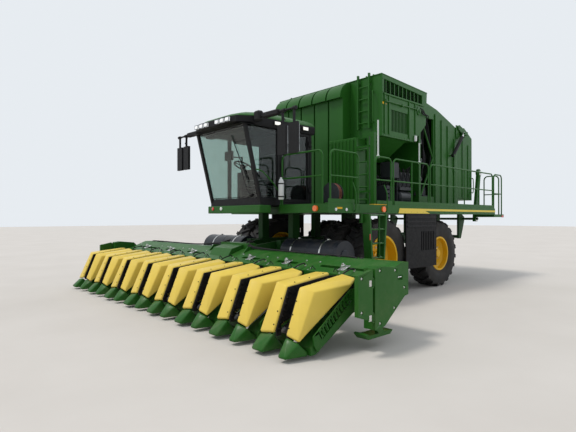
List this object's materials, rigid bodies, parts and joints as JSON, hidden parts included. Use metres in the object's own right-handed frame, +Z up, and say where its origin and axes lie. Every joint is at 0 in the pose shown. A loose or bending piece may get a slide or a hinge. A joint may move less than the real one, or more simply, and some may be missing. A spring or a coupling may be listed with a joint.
{
  "type": "cotton harvester",
  "caption": "Self-propelled harvester that strips cotton with a wide row header and bales it into round modules.",
  "frame": {"origin": "on the ground under the middle of the overall length and width", "axes": "+X to the front of the machine, +Y to its left, +Z up"},
  "size_m": [10.32, 8.608, 5.0799],
  "materials": {
    "amber": "gloss",
    "black": "matte",
    "bristle": "matte",
    "chrome": "polished",
    "dark_green": "satin",
    "dark_grey": "matte",
    "glass": "gloss",
    "green": "gloss",
    "iron": "rough",
    "lamp": "gloss",
    "rubber": "matte",
    "seat": "woven",
    "tyre": "matte",
    "yellow": "gloss",
    "yellow_plastic": "gloss"
  },
  "bodies": {
    "chassis": {"main_frame": "dark_green", "cross_members": "dark_green", "tail_frame": "dark_green", "floor_plate": "dark_green", "front_axle": "dark_green", "rear_axle": "dark_green", "engine": "iron", "fuel_tank": "black", "cab_shell": "green", "cab_glass": "glass", "cab_seat": "seat", "cab_controls": "black", "deck": "green", "guard_rails": "green", "fixed_ladders": "green", "ducts": "green", "accumulator": "green", "module_chamber": "green", "chamber_belts": "rubber", "side_panels": "dark_grey", "screen_box": "green", "air_drums": "dark_grey", "mirrors": "black", "work_lamps": "lamp", "marker_lamps": "amber", "stripes": "yellow", "hose_reel": "black"},
    "screen": {"rotary_screen": "dark_grey"},
    "door": {"cab_door": "green", "door_glass": "glass"},
    "ladder": {"boarding_ladder": "green"},
    "header": {"header_beam": "green", "dividers": "yellow_plastic", "noses": "green", "brush_rolls": "bristle", "header_ends": "green", "lift_arms": "dark_green"},
    "end_cover_left": {"end_door_left": "green"},
    "end_cover_right": {"end_door_right": "green"},
    "lift_barrel": {"lift_barrels": "black"},
    "lift_rod": {"lift_rods": "chrome"},
    "front_wheels_left": {"front_tyres_left": "tyre", "front_rims_left": "yellow"},
    "front_wheels_right": {"front_tyres_right": "tyre", "front_rims_right": "yellow"},
    "steer_left": {"knuckle_left": "dark_green"},
    "steer_right": {"knuckle_right": "dark_green"},
    "rear_wheel_left": {"rear_tyre_left": "tyre", "rear_rim_left": "yellow"},
    "rear_wheel_right": {"rear_tyre_right": "tyre", "rear_rim_right": "yellow"},
    "gate": {"rear_gate": "green"},
    "gate_barrel": {"gate_barrels": "black"},
    "gate_rod": {"gate_rods": "chrome"},
    "handler": {"module_handler": "green"}
  },
  "joints": [
    {"name": "header_lift", "type": "hinge", "parent": "chassis", "child": "header", "pos_m": [1.81, 0, 1.15], "axis": [0, -1, 0], "range_deg": [0, 14]},
    {"name": "lift_barrel_pivot", "type": "hinge", "parent": "chassis", "child": "lift_barrel", "pos_m": [1.18, 0, 0.7], "axis": [0, 1, 0], "range_deg": [-7.52, 0]},
    {"name": "lift_rod_slide", "type": "slide", "parent": "lift_barrel", "child": "lift_rod", "axis": [0.9976, 0, 0.0698], "range_m": [0, 0.08809]},
    {"name": "front_left_spin", "type": "hinge", "parent": "chassis", "child": "front_wheels_left", "pos_m": [0.76, 1.93, 0.86], "axis": [0, 1, 0], "continuous": true},
    {"name": "front_right_spin", "type": "hinge", "parent": "chassis", "child": "front_wheels_right", "pos_m": [0.76, -1.93, 0.86], "axis": [0, 1, 0], "continuous": true},
    {"name": "steer_left", "type": "hinge", "parent": "chassis", "child": "steer_left", "pos_m": [-1.84, 1.44, 0.83], "axis": [0, 0, 1], "range_deg": [-38, 38]},
    {"name": "steer_right", "type": "hinge", "parent": "chassis", "child": "steer_right", "pos_m": [-1.84, -1.44, 0.83], "axis": [0, 0, 1], "range_deg": [-38, 38]},
    {"name": "rear_left_spin", "type": "hinge", "parent": "steer_left", "child": "rear_wheel_left", "pos_m": [-1.84, 1.79, 0.83], "axis": [0, 1, 0], "continuous": true},
    {"name": "rear_right_spin", "type": "hinge", "parent": "steer_right", "child": "rear_wheel_right", "pos_m": [-1.84, -1.79, 0.83], "axis": [0, 1, 0], "continuous": true},
    {"name": "cab_door_hinge", "type": "hinge", "parent": "chassis", "child": "door", "pos_m": [1.742, 0.9, 2.05], "axis": [0, 0, 1], "range_deg": [0, 75]},
    {"name": "ladder_swing", "type": "hinge", "parent": "chassis", "child": "ladder", "pos_m": [1.73, 2.31, 1.655], "axis": [0, 0, -1], "range_deg": [0, 90]},
    {"name": "end_door_left_hinge", "type": "hinge", "parent": "header", "child": "end_cover_left", "pos_m": [4.028, 4.285, 0.7], "axis": [0, 0, -1], "range_deg": [0, 100]},
    {"name": "end_door_right_hinge", "type": "hinge", "parent": "header", "child": "end_cover_right", "pos_m": [4.028, -4.285, 0.7], "axis": [0, 0, 1], "range_deg": [0, 100]},
    {"name": "gate_hinge", "type": "hinge", "parent": "chassis", "child": "gate", "pos_m": [-3.83, 0, 4.36], "axis": [0, 1, 0], "range_deg": [0, 70]},
    {"name": "gate_barrel_pivot", "type": "hinge", "parent": "chassis", "child": "gate_barrel", "pos_m": [-3.34, 0, 3.5], "axis": [0, 1, 0], "range_deg": [0, 6.85]},
    {"name": "gate_rod_slide", "type": "slide", "parent": "gate_barrel", "child": "gate_rod", "axis": [-0.6805, 0, 0.7328], "range_m": [0, 0.22643]},
    {"name": "handler_hinge", "type": "hinge", "parent": "chassis", "child": "handler", "pos_m": [-4.69, 0, 1.7], "axis": [0, -1, 0], "range_deg": [0, 110]},
    {"name": "screen_spin", "type": "hinge", "parent": "chassis", "child": "screen", "pos_m": [-0.99, -2.17, 2.65], "axis": [0, 1, 0], "continuous": true}
  ],
  "couplings": [
    {"joint": "lift_barrel_pivot", "follows": "header_lift", "ratio": -0.5373},
    {"joint": "lift_rod_slide", "follows": "header_lift", "m_per_rad": 0.36048},
    {"joint": "gate_barrel_pivot", "follows": "gate_hinge", "ratio": 0.097839},
    {"joint": "gate_rod_slide", "follows": "gate_hinge", "m_per_rad": 0.18533},
    {"joint": "steer_right", "follows": "steer_left", "ratio": 1}
  ]
}
